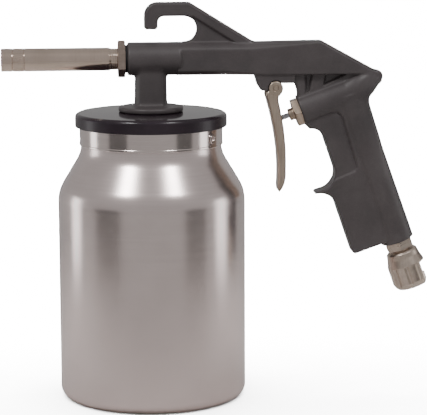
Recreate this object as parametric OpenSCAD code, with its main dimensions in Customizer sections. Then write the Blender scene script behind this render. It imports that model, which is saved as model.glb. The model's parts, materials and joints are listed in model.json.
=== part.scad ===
// Suction-feed spray gun with a one litre aluminium cup, a pistol grip and a bayonet air inlet.
// Millimetres. The origin is the centre of the cup's base, +Z is up, -X is the way the nozzle
// points, and the gun is mirror-symmetric about the plane y = 0 apart from the inlet coupler.

/* [Cup] */
// Outside diameter of the cup
cup_d = 100; // [80:1:125]
// Height of the cup's rim above its base
cup_h = 149.5; // [120:0.5:190]
// Wall thickness of the cup
cup_wall = 1.2; // [0.8:0.1:2]
// Radius of the bottom corner
cup_corner_r = 5; // [2:0.5:8]
// Height of the shoulder from the straight wall to the neck
shoulder_h = 24; // [15:1:35]
// Outside diameter of the neck
neck_d = 74.7; // [60:0.1:76]
// Straight height of the neck
neck_h = 18.5; // [12:0.5:26]

/* [Neck ring and lid] */
// Wall of the ring riveted round the neck
ring_wall = 0.95; // [0.6:0.05:2]
// Height of the ring
ring_h = 12.9; // [8:0.1:18]
// Diameter of the ring's rivet heads
rivet_head_d = 5.3; // [3:0.1:7]
// Turn of the first rivet from the front
rivet_turn = 54; // [0:1:90]
// Height of the lid's outer band
lid_band_h = 7.6; // [5:0.1:14]
// Wall of the lid's band
lid_wall = 2.15; // [1.5:0.05:4]
// Thickness of the lid's plate
lid_plate = 2.5; // [1.5:0.1:5]
// Radial play of the lid on the ring
lid_play = 0.05; // [0.02:0.01:0.1]
// Thickness of the lid's gasket
gasket_t = 1.35; // [0.8:0.05:3]

/* [Barrel and bar] */
// Outside diameter of the barrel
barrel_d = 17.6; // [16:0.1:22]
// Height of the barrel's axis above the lid's top
barrel_rise = 28.1; // [24:0.1:40]
// Reach of the barrel ahead of the stem's axis
barrel_front = 12.4; // [11:0.1:20]
// Width of the flat-sided bar behind the barrel
bar_w = 14.4; // [13:0.1:17]
// Length of the bar's straight top behind the stem's axis
bar_top_l = 91.3; // [85:0.1:105]
// Edge chamfer at the rear of the bar
bar_chamfer = 1.8; // [0.5:0.1:2.5]

/* [Stem] */
// Diameter of the stem where it leaves the flange
stem_d = 17.7; // [16.5:0.1:20]
// Width across the stem's front and back flats
stem_flats = 13.2; // [12:0.1:15]
// Diameter of the flange on the lid
flange_d = 34.4; // [28:0.1:44]
// Thickness of the flange
flange_t = 3; // [2:0.1:5]
// Diameter of the threaded spigot through the lid
spigot_d = 16; // [14:0.1:20]
// Length of the spigot below the flange
spigot_l = 12; // [10:0.1:16]
// Outside diameter of the suction tube
tube_d = 10; // [8:0.1:11]
// Bore of the suction tube
tube_bore = 7; // [5:0.1:8]
// Gap between the suction tube and the cup's base
tube_gap = 8; // [4:0.5:20]
// Width across the flats of the nut under the lid
lid_nut_af = 24; // [22:0.5:30]
// Thickness of the nut under the lid
lid_nut_t = 5; // [3:0.1:6]

/* [Hanging hook] */
// Thickness of the hook across the gun
hook_w = 8; // [6:0.1:12]
// Height of the hook's clear opening
hook_gap_h = 13.8; // [12:0.1:20]
// Thickness of the hook's bar
hook_bar = 7.2; // [5:0.1:10]
// Drop of the hook's tip below its bar
hook_drop = 6.9; // [4:0.1:9]
// Length of the hook's opening from tip to root
hook_gap_l = 20.7; // [17:0.1:26]

/* [Nozzle] */
// Diameter of the nozzle tube
nozzle_d = 12.2; // [11:0.1:14]
// Length of the nozzle from the barrel's face to its tip
nozzle_l = 66.4; // [45:0.1:110]
// Diameter of the thread at the nozzle's rear
nozzle_thread_d = 11.3; // [10:0.1:11.8]
// Bore of the nozzle tube
nozzle_bore = 7; // [5:0.1:8]
// Length of the screwed cap at the tip
cap_l = 12.3; // [9:0.1:18]
// Bore of the hardened insert
insert_bore = 6.4; // [5:0.1:6.8]
// Width across the flats of the locknut
locknut_af = 17; // [15.5:0.5:22]
// Thickness of the locknut
locknut_t = 3.9; // [3:0.1:8]
// Thickness of the washer behind the locknut
lockwasher_t = 1; // [0.5:0.1:2]
// Bore of the air jet
jet_bore = 2; // [1:0.1:3]

/* [Grip] */
// Tilt of the valve housing from level, and of the grip from upright
tilt = 19.6; // [16:0.1:22]
// Diameter of the valve housing
housing_d = 17.4; // [16.5:0.1:20]
// Diameter of the grip's round rear column
column_d = 18; // [17:0.1:21]
// Length of the grip's column below the valve's axis
column_l = 85; // [80:0.5:105]
// Thickness of the grip's front panel
panel_w = 14; // [12:0.1:16]
// Depth of the recess on each side for the fingers
recess_d = 0.8; // [0.4:0.1:1.2]
// Distance from the housing's face to the column's axis
column_u = 26.4; // [25:0.1:30]
// Thickness of the web between bar and valve housing
web_w = 9; // [8:0.1:12]
// Depth of the pockets in each side of the web
pocket_d = 2; // [1:0.1:2.5]

/* [Trigger and valve] */
// Width of the trigger
trigger_w = 13; // [12:0.1:15]
// Diameter of the trigger's pivot pin
pivot_d = 3; // [2.5:0.1:4]
// Radial play of the trigger on its pin
pivot_play = 0.05; // [0.02:0.01:0.1]
// Width of the gun's lug inside the trigger's fork
lug_w = 6.6; // [5:0.1:7]
// Side play of the fork on the lug
fork_play = 0.25; // [0.15:0.05:0.4]
// Diameter of the valve's push pin
valve_pin_d = 2.9; // [2.5:0.1:3.4]
// Width across the flats of the valve gland
gland_af = 14; // [13:0.5:16]
// Thickness of the gland's hexagon
gland_t = 3.7; // [3:0.1:4]
// Diameter of the packing nut
packing_d = 6.7; // [6:0.1:8]
// Bore of the valve chamber
chamber_d = 11; // [10:0.1:12]
// Play of the pin in the gland, on the radius
pin_play = 0.04; // [0.02:0.01:0.1]

/* [Air inlet] */
// Diameter of the inlet's thread
inlet_thread_d = 9.7; // [9:0.1:12]
// Width across the flats of the inlet's hexagon
inlet_af = 14; // [13:0.5:16]
// Height of the inlet's hexagon
inlet_hex_t = 4.8; // [3:0.1:8]
// Diameter of the coupler's skirt
coupler_d = 20.4; // [19:0.1:24]
// Diameter of the coupler's top rim
coupler_top_d = 17.2; // [16:0.1:19]
// Length of the coupler
coupler_l = 20.5; // [18:0.1:28]
// Bore of the coupler's socket
socket_d = 13; // [11:0.1:14]
// Opening angle of the coupler's side slot
slot_angle = 80; // [60:1:84]

/* [Hidden] */
$fn = 96;
eps = 0.01;
skin = 0.5;                       // how far a cut runs past the face it opens

// Cup, from the base up
cup_r = cup_d / 2;
neck_r = neck_d / 2;
neck_z0 = cup_h - neck_h;
shoulder_z0 = neck_z0 - shoulder_h;
cone_share = 0.6;                 // part of the shoulder's height taken by its straight cone
blend_r = 18;                     // radius from the wall into the cone

// Neck ring, rivets, gasket and lid
ring_r = neck_r + ring_wall;
ring_top = cup_h - 0.5;
ring_z0 = ring_top - ring_h;
rivet_z = ring_z0 + 5;
rivet_head_t = 0.7;
rivet_shank_r = 1.5;
gasket_gap = 0.05;
gasket_z0 = cup_h + gasket_gap;
gasket_w = 4;
lid_r = ring_r + lid_play + lid_wall;
lid_bore_r = ring_r + lid_play;
lid_under = gasket_z0 + gasket_t;
lid_top = lid_under + lid_plate;
lid_edge_r = 2;

// Stem, spigot and suction tube
flange_top = lid_top + flange_t;
axis_z = lid_top + barrel_rise;
spigot_r = spigot_d / 2;
spigot_z0 = lid_top - spigot_l;
spigot_play = 0.05;
lid_washer_t = 0.9;
lid_washer_r = 15;
lid_nut_top = lid_under - lid_washer_t;
socket_up = 4;                    // how far the suction tube enters above the lid
tube_top = lid_top + socket_up;
media_r = 3.6;

// Barrel bores, front to back
barrel_r = barrel_d / 2;
thread_r = nozzle_thread_d / 2;
face_x = -barrel_front;
mix_end = 6;
jet_thread_r = 4;
jet_end = 16;
air_r = 3.5;
nozzle_in = 7.5;                  // length of nozzle thread inside the barrel

// Nozzle, from its tip back
tip_x = face_x - nozzle_l;
cap_end = tip_x + cap_l;
cap_join = tip_x + cap_l / 2;     // groove between the cap's smooth and knurled halves
tube_x0 = tip_x + 4;              // front end of the nozzle tube, inside the cap
step_x = face_x - lockwasher_t - locknut_t - 3.6;
cap_thread_r = 5.1;
insert_r = 4.2;
insert_l = 14;
insert_x0 = tip_x + 0.4;

// Bar
bar_x0 = 16;
bar_under = axis_z - barrel_r;
bar_top = axis_z + barrel_r;
nose_slope = 28.9;                // fall of the bar's rear edge from level
bar_tail = bar_top_l + (bar_top - bar_under) / tan(nose_slope);

// Hook
hook_z0 = bar_top;
hook_under = hook_z0 + hook_gap_h;
hook_top = hook_under + hook_bar;
hook_tip_l = 6.9;
hook_x0 = -3.1;
hook_in = hook_x0 + hook_tip_l;
hook_end = hook_in + hook_gap_l;
hook_eye_r = hook_gap_h / 2;
hook_outer_r = 7;
hook_inner_r = 3.4;
rib_t = 6;
rib_x1 = 20.6;
rib_x2 = 54.2;
hook_web_w = 5;

// Grip frame: u runs back along the valve's axis, w is square to it, and its origin is the
// middle of the valve housing's front face
grip_x = 80.1;
grip_z = axis_z - 28.9;
housing_r = housing_d / 2;
column_r = column_d / 2;
front_u = 0.6;                    // front edge of the lower grip
finger_u = 6.7;                   // front edge behind the fingers
panel_w0 = -82.8;
bow_c = [-0.4, -17.3];
bow_r = 7.2;
rest_c = [-3, -34.2];
rest_r = 9.6;
heel_c = [-8.5, -53.8];
heel_r = 9.4;
horn_c = [44.6, 3.6];
horn_r = 3.4;
tang_c = [46.4, -12.6];
tang_r = 11;

// Trigger and boss
pivot_x = 66.3;
pivot_z = axis_z - 16.1;
trigger_l = 56.1;                 // pivot to the trigger's tip
head_r = 3.9;
head_clear = 0.45;
slot_back = 11;                   // reach of the fork's slot either side of the pivot
boss_x0 = 54.3;
boss_x1 = 76.5;
strip_z = axis_z - 13.4;
lug_r = 3.4;
pin_r = pivot_d / 2;
boss_w = 12.4;

// Valve, along u from the housing's face
chamber_r = chamber_d / 2;
chamber_end = 34;
gland_thread_l = 6;
pin_tip_u = -9.45;
rod_r = valve_pin_d / 2;
gland_bore_r = rod_r + pin_play;
packing_t = 2.9;
seat_u = 12;
seat_t = 2.5;
seat_bore_r = 3.2;
seal_gap = 0.05;
seal_t = 1.2;
poppet_r = 4.6;
poppet_l = 4;
seal_u = seat_u + seat_t + seal_gap;
poppet_u = seal_u + seal_t;
poppet_end = poppet_u + poppet_l;
riser_u = 8.6;
riser_r = 1.9;
riser_top = [89.6, axis_z];
wire_r = 0.6;
spring_turns = 6;
coil_r = 3.4;

// Air inlet, down the grip's column from its end
column_end = -column_l;
inlet_thread_r = inlet_thread_d / 2;
inlet_thread_l = 9;
hex_end = column_end - inlet_hex_t;
coupler_top = hex_end - 1.2;
coupler_end = coupler_top - coupler_l;
coupler_r = coupler_d / 2;
socket_r = socket_d / 2;
flare_h = 7;
socket_top = coupler_top - 4;
seal_ring_t = 2.4;
seal_ring_r = 5.8;
seal_foot = socket_top - seal_ring_t;
inlet_turn = 26;                  // turn of the inlet's hexagon about the column
gland_turn = 30;                  // turn of the gland's hexagon, which puts two flats level
slot_h = 12;
hook_turn = 5;
nipple_bore_r = 3;
neck_thread_r = 4.6;

// ---- Shared shapes ----

function arc(c, r, a0, a1, n = 8) =
    [for (i = [0:n]) c + r * [cos(a0 + (a1 - a0) * i / n), sin(a0 + (a1 - a0) * i / n)]];

// Smooth curve from a to c that leaves and arrives along the lines to b
function curve(a, b, c, n = 8) =
    [for (i = [0:n]) let (t = i / n) (1 - t) * (1 - t) * a + 2 * t * (1 - t) * b + t * t * c];

// Stands a 2D outline in X and Z up in the plane y = 0, t thick
module upright(t) {
    rotate([90, 0, 0]) linear_extrude(t, center = true) children();
}

// Lays a child that was made along Z out along X, with its foot at x
module along_x(x) {
    translate([x, 0, axis_z]) rotate([0, 90, 0]) children();
}

module grip_frame() {
    translate([grip_x, 0, grip_z]) rotate([0, -tilt, 0]) children();
}

// Lays a child that was made along Z out along the valve's axis, with its foot at u
module along_u(u) {
    grip_frame() translate([u, 0, 0]) rotate([0, 90, 0]) children();
}

// Puts a child that was made along Z on the axis of the grip's column, with its foot at w
module along_w(w) {
    grip_frame() translate([column_u, 0, w]) children();
}

// Lays a child that was made along Z across the gun on the trigger's pivot
module at_pivot() {
    translate([pivot_x, 0, pivot_z]) rotate([90, 0, 0]) children();
}

module ring(r_out, r_in, h) {
    difference() {
        cylinder(r = r_out, h = h);
        translate([0, 0, -skin]) cylinder(r = r_in, h = h + 2 * skin);
    }
}

module hex(af, h, chamfer = 0.7) {
    corner = af / 2 / cos(30);
    intersection() {
        cylinder(r = corner, h = h, $fn = 6);
        rotate_extrude() polygon([[0, 0], [corner - chamfer, 0], [corner, chamfer * 0.6],
                                  [corner, h - chamfer * 0.6], [corner - chamfer, h], [0, h]]);
    }
}

// ---- Cup ----

// Outside of the cup; t moves it inwards by a wall
module cup_outline(t = 0) {
    r = cup_r - t;
    rn = neck_r - t;
    rc = cup_corner_r - t;
    z1 = shoulder_z0 + shoulder_h * (1 - cone_share);
    bulge = (cup_r - neck_r) * 0.245;
    polygon(concat(
        [[0, t]],
        arc([r - rc, t + rc], rc, -90, 0),
        [[r, shoulder_z0]],
        [[r - bulge * 0.12, shoulder_z0 + (z1 - shoulder_z0) * 0.35],
         [r - bulge * 0.46, shoulder_z0 + (z1 - shoulder_z0) * 0.7],
         [r - bulge, z1]],
        [[rn + 1.1, neck_z0 - 0.4], [rn + 0.3, neck_z0 + 1], [rn, neck_z0 + 2.6]],
        [[rn, cup_h + (t > 0 ? skin : 0)], [0, cup_h + (t > 0 ? skin : 0)]]));
}

module cup() {
    color("silver") difference() {
        rotate_extrude() difference() {
            cup_outline();
            cup_outline(cup_wall);
        }
        rivet_places() translate([0, 0, neck_r - cup_wall - skin])
            cylinder(r = rivet_shank_r, h = cup_wall + 2 * skin);
    }
}

// Two places round the neck, with the child's Z pointing out
module rivet_places() {
    for (k = [0, 180])
        translate([0, 0, rivet_z]) rotate([0, 0, k + rivet_turn - 90]) rotate([0, 90, 0]) children();
}

module neck_ring() {
    color("gainsboro") difference() {
        translate([0, 0, ring_z0]) ring(ring_r, neck_r, ring_h);
        rivet_places() translate([0, 0, neck_r - skin]) cylinder(r = rivet_shank_r, h = ring_wall + 2 * skin);
    }
}

module neck_rivets() {
    color("lightgray") rivet_places() {
        translate([0, 0, neck_r - cup_wall - rivet_head_t])
            cylinder(r = rivet_shank_r, h = cup_wall + ring_wall + 2 * rivet_head_t);
        difference() {
            translate([0, 0, ring_r - 0.5]) cylinder(d = rivet_head_d, h = rivet_head_t + 0.4);
            rotate([0, 90, 0]) cylinder(r = ring_r, h = 2 * rivet_head_d, center = true, $fn = 192);
        }
        translate([0, 0, neck_r - cup_wall - rivet_head_t])
            cylinder(r = rivet_shank_r + 0.8, h = rivet_head_t - 0.15);
    }
}

// ---- Lid ----

module lid() {
    edge = min(lid_edge_r, lid_plate * 0.8);
    color("#2c272b") rotate_extrude() polygon(concat(
        [[spigot_r + spigot_play, lid_under], [lid_bore_r, lid_under],
         [lid_bore_r, lid_top - lid_band_h]],
        [[lid_r - 0.5, lid_top - lid_band_h], [lid_r, lid_top - lid_band_h + 0.5]],
        arc([lid_r - edge, lid_top - edge - 0.4], edge, 0, 78),
        [[flange_d / 2 + 1, lid_top], [spigot_r + spigot_play, lid_top]]));
}

module lid_gasket() {
    color("#1d1d1f") translate([0, 0, gasket_z0]) ring(lid_bore_r - 0.3, lid_bore_r - 0.3 - gasket_w, gasket_t);
}

module lid_washer() {
    color("#6b4a35") translate([0, 0, lid_nut_top]) ring(lid_washer_r, spigot_r + spigot_play, lid_washer_t);
}

module lid_nut() {
    color("#b59a62") translate([0, 0, lid_nut_top - lid_nut_t]) difference() {
        hex(lid_nut_af, lid_nut_t);
        translate([0, 0, -skin]) cylinder(r = spigot_r, h = lid_nut_t + 2 * skin);
    }
}

// ---- Gun body casting ----

module barrel() {
    along_x(face_x) rotate_extrude()
        polygon([[0, 0], [barrel_r - 1.2, 0], [barrel_r - 0.35, 0.35], [barrel_r, 1.2],
                 [barrel_r, bar_x0 + 2 - face_x], [0, bar_x0 + 2 - face_x]]);
}

// Flat-sided bar: round in front, square with chamfered edges behind
module bar() {
    c = bar_chamfer;
    x1 = bar_top_l - 4;
    hull() {
        intersection() {
            along_x(bar_x0) cylinder(r = barrel_r, h = 1, $fn = 48);
            translate([bar_x0 - 1, -bar_w / 2, 0]) cube([3, bar_w, axis_z + barrel_d]);
        }
        upright(bar_w - 2 * c)
            polygon([[x1, bar_under], [x1, bar_top], [bar_top_l, bar_top], [bar_tail, bar_under]]);
        upright(bar_w)
            polygon([[x1, bar_under + c], [x1, bar_top - c], [bar_top_l - c / 4, bar_top - c],
                     [bar_tail - 2.6 * c, bar_under + c]]);
    }
}

function hook_outline() = concat(
    [[hook_x0 + 0.8, hook_under - hook_drop], [hook_in - 0.8, hook_under - hook_drop],
     [hook_in, hook_under - hook_drop + 0.8]],
    arc([hook_in + hook_inner_r, hook_under - hook_inner_r], hook_inner_r, 180, 90, 5),
    arc([hook_end - hook_eye_r, hook_z0 + hook_eye_r], hook_eye_r, 90, -90, 12),
    [[hook_end - hook_eye_r, axis_z], [rib_x2, axis_z], [rib_x2, hook_z0], [rib_x1 + 1, hook_top - 0.2],
     [rib_x1, hook_top]],
    arc([hook_x0 + hook_outer_r, hook_top - hook_outer_r], hook_outer_r, 90, 180, 6),
    [[hook_x0, hook_under - hook_drop + 0.8]]);

// Hanging hook with its slanted rib, and a thinner web under the rib
module hook() {
    slope = atan2(hook_top - hook_z0, rib_x2 - rib_x1);
    drop = rib_t / cos(slope);
    upright(hook_web_w) polygon(hook_outline());
    upright(hook_w) difference() {
        polygon(hook_outline());
        polygon([[hook_end - 2.2, hook_under - 0.6], [rib_x1 + 2, hook_top - drop - 0.6],
                 [rib_x2 + 4, hook_z0 - drop - 2], [hook_end - hook_eye_r, axis_z - 2],
                 [hook_end - hook_eye_r - 2, hook_z0 - 0.4]]);
    }
}

module stem() {
    intersection() {
        union() {
            translate([0, 0, lid_top]) cylinder(d1 = stem_d, d2 = stem_d - 1.1, h = barrel_rise - 3);
            translate([0, 0, flange_top - eps]) cylinder(d1 = stem_d + 5, d2 = stem_d - 0.2, h = 2.4);
        }
        translate([-stem_d, -stem_flats / 2, lid_top]) cube([2 * stem_d, stem_flats, barrel_rise]);
    }
    translate([0, 0, lid_top]) rotate_extrude() polygon(concat(
        [[0, 0], [flange_d / 2 - 1.2, 0]],
        arc([flange_d / 2 - 1.2, 1.2], 1.2, -90, 70, 6),
        [[stem_d / 2 + 1.5, flange_t], [0, flange_t]]));
    translate([0, 0, spigot_z0]) cylinder(r = spigot_r, h = spigot_l + 1);
}

// Boss for the trigger: full width beside the fork, and a narrow lug inside it
module trigger_boss() {
    front = [[boss_x0, bar_under + 2], [boss_x0 + 2.6, pivot_z + 1.4], [boss_x0 + 4.3, pivot_z - 1.1],
             [pivot_x - 4, pivot_z - 1.3]];
    difference() {
        upright(boss_w) polygon(concat(front, [[pivot_x + 3, strip_z], [boss_x1, strip_z],
                                               [boss_x1, bar_under + 2]]));
        for (side = [-1, 1])
            translate([0, side * boss_w / 2, 0]) at_pivot()
                cylinder(r = head_r + head_clear, h = boss_w - lug_w, center = true);
    }
    upright(lug_w) polygon(concat(front, arc([pivot_x, pivot_z], lug_r, -130, 30, 8),
                                  [[pivot_x + lug_r, strip_z], [pivot_x + lug_r, bar_under + 2]]));
}

// Web between the bar and the valve housing, with two pockets and the air riser's rib between them
module web() {
    z1 = bar_under + 0.2;
    front_x = boss_x1 + 5.8;
    rear_x = boss_x1 + 16.9;
    difference() {
        upright(web_w) polygon([[boss_x1 - 1, bar_under + 2], [boss_x1 - 1, strip_z],
                                [boss_x1 + 0.6, strip_z - 1], [boss_x1 + 1.6, strip_z - 4],
                                [boss_x1 + 2.4, strip_z - 10], [grip_x + 36, grip_z + 18],
                                [grip_x + 36, bar_under + 2]]);
        for (side = [-1, 1]) translate([0, side * (web_w / 2), 0]) upright(2 * pocket_d) {
            polygon([[front_x, z1], [front_x + 3.6, z1], [front_x + 1.9, z1 - 9.4],
                     [front_x + 0.3, z1 - 10]]);
            polygon([[rear_x, z1], [rear_x + 11.1, z1], [rear_x - 1.4, z1 - 6.2]]);
        }
    }
}

function grip_outline() = concat(
    [[0.4, 0], [0.4, -housing_r], [0.9, bow_c[1] + bow_r]],
    arc(bow_c, bow_r, 78, 0, 6),
    arc(rest_c, rest_r, 0, -86, 8),
    [[rest_c[0] - 3.9, rest_c[1] - rest_r + 0.2], [rest_c[0] - 4.4, rest_c[1] - rest_r - 0.3]],
    arc(heel_c, heel_r, 88, 0, 8),
    [[front_u, panel_w0 + 1], [front_u + 1, panel_w0], [column_u, panel_w0], [column_u, 0]]);

function recess_outline() = concat(
    [[-12, -rest_r + rest_c[1] + 3.4], [-12, -6]],
    arc([15, -10.3], 4.3, 90, 0, 6),
    [[18, -38.5], [16.4, -40]],
    [[6, -40.5], [-6, -rest_r + rest_c[1] + 1.2]]);

module valve_housing() {
    along_u(0) cylinder(r = housing_r, h = 37);
    grip_frame() hull() {
        translate([30, 0, 0]) rotate([0, 90, 0]) cylinder(r = housing_r, h = 6, $fn = 48);
        translate([horn_c[0], 0, horn_c[1]]) rotate([90, 0, 0]) cylinder(r = horn_r, h = 7, center = true, $fn = 32);
    }
}

module grip() {
    along_w(column_end) {
        cylinder(r1 = column_r - 0.6, r2 = column_r, h = 0.6);
        translate([0, 0, 0.6]) cylinder(r = column_r, h = column_l - 0.6);
    }
    grip_frame() {
        difference() {
            upright(panel_w) polygon(grip_outline());
            for (side = [-1, 1]) translate([0, side * panel_w / 2, 0])
                upright(2 * recess_d) polygon(recess_outline());
        }
        upright(panel_w - 2) polygon(concat(
            [[column_u, 0], [column_u, -24], [column_u + column_r - 0.1, -24]],
            arc(tang_c, tang_r, 180, 104, 8),
            [[horn_c[0], horn_c[1]], [column_u, horn_c[1]]]));
    }
}

// Drillings of the air and media passages
module passages() {
    along_x(face_x - skin) cylinder(r = thread_r, h = mix_end - face_x + skin);
    along_x(mix_end - eps) cylinder(r = jet_thread_r, h = jet_end - mix_end + eps);
    along_x(jet_end - eps) cylinder(r = air_r, h = riser_top[0] - jet_end + riser_r);
    translate([0, 0, tube_top - eps]) cylinder(r = media_r, h = axis_z - tube_top);
    translate([0, 0, spigot_z0 - skin]) cylinder(d = tube_d, h = tube_top - spigot_z0 + skin);
    along_u(-skin) cylinder(r = chamber_r, h = chamber_end + skin);
    riser_foot = [grip_x + riser_u * cos(tilt), grip_z + riser_u * sin(tilt)];
    run = riser_top - riser_foot;
    translate([riser_foot[0], 0, riser_foot[1]]) rotate([0, atan2(run[0], run[1]), 0])
        cylinder(r = riser_r, h = norm(run), $fn = 48);
    along_w(column_end - skin) cylinder(r = inlet_thread_r, h = inlet_thread_l + 2 + skin);
    along_w(column_end) cylinder(r = air_r, h = column_l);
    at_pivot() cylinder(r = pin_r, h = lug_w + 2, center = true);
}

module gun_body() {
    color("#4a4646") difference() {
        union() {
            barrel();
            bar();
            hook();
            stem();
            trigger_boss();
            web();
            valve_housing();
            grip();
        }
        passages();
    }
}

module pickup_tube() {
    color("gray") translate([0, 0, tube_gap + cup_wall])
        ring(tube_d / 2, tube_bore / 2, tube_top - tube_gap - cup_wall);
}

// ---- Nozzle and jet ----

module air_jet() {
    color("#c9a55a") along_x(0) difference() {
        union() {
            translate([0, 0, -3]) cylinder(r1 = 1.7, r2 = 2.4, h = mix_end - 2.4 + 3);
            translate([0, 0, mix_end - 2.6]) intersection() {
                hex(8.4, 2.6, 0.5);
                cylinder(r = thread_r - 0.2, h = 2.6);
            }
            translate([0, 0, mix_end - eps]) cylinder(r = jet_thread_r, h = jet_end - mix_end - 1);
        }
        translate([0, 0, -3 - skin]) cylinder(d = jet_bore, h = 8);
        translate([0, 0, 3]) cylinder(r = 2, h = jet_end);
    }
}

module nozzle_tube() {
    color("#968780") along_x(0) difference() {
        rotate_extrude() polygon([
            [nozzle_bore / 2, tube_x0], [cap_thread_r - 0.3, tube_x0], [cap_thread_r, tube_x0 + 0.5],
            [cap_thread_r, cap_end], [nozzle_d / 2, cap_end], [nozzle_d / 2, step_x - 2.4],
            [thread_r, step_x], [thread_r, face_x + nozzle_in - 0.6],
            [thread_r - 0.6, face_x + nozzle_in], [nozzle_bore / 2, face_x + nozzle_in]]);
        translate([0, 0, tube_x0 - skin])
            cylinder(r = insert_r, h = insert_x0 + insert_l + 0.4 - tube_x0 + skin);
    }
}

module nozzle_cap() {
    color("#a0938a") along_x(0) rotate_extrude() polygon([
        [insert_r, tip_x], [nozzle_d / 2 - 0.5, tip_x], [nozzle_d / 2, tip_x + 0.5],
        [nozzle_d / 2, cap_join - 0.25], [nozzle_d / 2 - 0.2, cap_join],
        [nozzle_d / 2, cap_join + 0.25], [nozzle_d / 2, cap_end],
        [cap_thread_r, cap_end], [cap_thread_r, tube_x0], [insert_r, tube_x0]]);
}

module nozzle_insert() {
    color("#6e6a6a") along_x(insert_x0) ring(insert_r, insert_bore / 2, insert_l);
}

module lock_nut() {
    color("#82706a") along_x(face_x - lockwasher_t - locknut_t) difference() {
        hex(locknut_af, locknut_t, 0.9);
        translate([0, 0, -skin]) cylinder(r = thread_r, h = locknut_t + 2 * skin);
    }
}

module lock_washer() {
    color("#202022") along_x(face_x - lockwasher_t) ring(barrel_r - 1.4, thread_r, lockwasher_t);
}

// ---- Trigger ----

// Side of the trigger's blade, from the front of its head round the tip and up the back
function blade_outline() = [for (p = concat(
    [[-3.6, -1.6], [-5, -2.2]],
    curve([-5.3, -3.9], [2.6, -30], [1, -trigger_l + 2.9]),
    [[1.4, 0.7 - trigger_l]],
    curve([2.1, 0.2 - trigger_l], [5.4, 3.6 - trigger_l], [5.6, 9.7 - trigger_l], 6),
    curve([5.6, 17.7 - trigger_l], [5.6, -24], [1.5, -6.8]),
    [[1.5, -4.8], [3.3, -2.4], [0, 0]])) [pivot_x, pivot_z] + p];

module trigger() {
    slot = lug_w / 2 + fork_play;
    color("#b0a095") difference() {
        union() {
            upright(trigger_w) polygon(blade_outline());
            at_pivot() cylinder(r = head_r, h = trigger_w, center = true);
        }
        translate([pivot_x - slot_back, -slot, pivot_z - head_r - 0.7])
            cube([2 * slot_back, 2 * slot, 3 * head_r]);
        at_pivot() cylinder(r = pin_r + pivot_play, h = trigger_w + 2 * skin, center = true);
    }
}

module trigger_pin() {
    color("gray") at_pivot() cylinder(r = pin_r, h = trigger_w - 0.4, center = true);
}

// ---- Valve ----

module valve_gland() {
    color("#b5a494") along_u(0) difference() {
        union() {
            translate([0, 0, -gland_t]) rotate([0, 0, gland_turn]) hex(gland_af, gland_t);
            translate([0, 0, -eps]) cylinder(r = chamber_r, h = gland_thread_l);
            translate([0, 0, -gland_t - packing_t + 1]) cylinder(d = packing_d - 1.4, h = packing_t);
        }
        translate([0, 0, -9]) cylinder(r = gland_bore_r, h = 20);
        translate([0, 0, 2]) cylinder(r = 3.4, h = 6);
    }
}

module packing_nut() {
    u0 = -gland_t - packing_t;
    color("#b08c62") along_u(u0) difference() {
        cylinder(d = packing_d, h = packing_t);
        translate([0, 0, -skin]) cylinder(r = gland_bore_r, h = 2);
        translate([0, 0, 1]) cylinder(d = packing_d - 1.4, h = packing_t);
    }
}

module packing_ring() {
    color("white") along_u(2) ring(3.4, gland_bore_r, 2);
}

module valve_pin() {
    color("#c8c8cc") {
        along_u(pin_tip_u) cylinder(r = rod_r, h = poppet_end - pin_tip_u);
        along_u(pin_tip_u) sphere(r = rod_r);
    }
}

module valve_poppet() {
    color("#b59a62") along_u(poppet_u) ring(poppet_r, rod_r, poppet_l);
}

module valve_seal() {
    color("#1d1d1f") along_u(seal_u) ring(poppet_r - 0.1, rod_r, seal_t);
}

module valve_seat() {
    color("#b59a62") along_u(seat_u) ring(chamber_r, seat_bore_r, seat_t);
}

module valve_spring() {
    span = chamber_end - poppet_end - 2 * wire_r - 0.2;
    rings = spring_turns * 16;
    pts = [for (i = [0:rings], k = [0:5]) let (a = 22.5 * i, b = 60 * k)
        [(coil_r + wire_r * cos(b)) * cos(a), (coil_r + wire_r * cos(b)) * sin(a),
         span * i / rings + wire_r * sin(b)]];
    sides = [for (i = [0:rings - 1], k = [0:5]) let (n = (k + 1) % 6)
        [6 * i + k, 6 * i + n, 6 * i + 6 + n, 6 * i + 6 + k]];
    ends = [[for (k = [5:-1:0]) k], [for (k = [0:5]) 6 * rings + k]];
    color("#9a9aa0") along_u(poppet_end + wire_r + 0.1)
        polyhedron(pts, [for (f = concat(sides, ends)) [for (j = [len(f) - 1:-1:0]) f[j]]]);
}

// ---- Air inlet ----

module inlet_nipple() {
    color("#9c8878") along_w(0) difference() {
        union() {
            translate([0, 0, column_end - eps]) cylinder(r = inlet_thread_r, h = inlet_thread_l);
            translate([0, 0, hex_end]) rotate([0, 0, inlet_turn]) hex(inlet_af, inlet_hex_t);
            translate([0, 0, coupler_top - 3.5]) cylinder(r = neck_thread_r, h = 5);
        }
        translate([0, 0, coupler_end]) cylinder(r = nipple_bore_r, h = column_l);
    }
}

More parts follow.
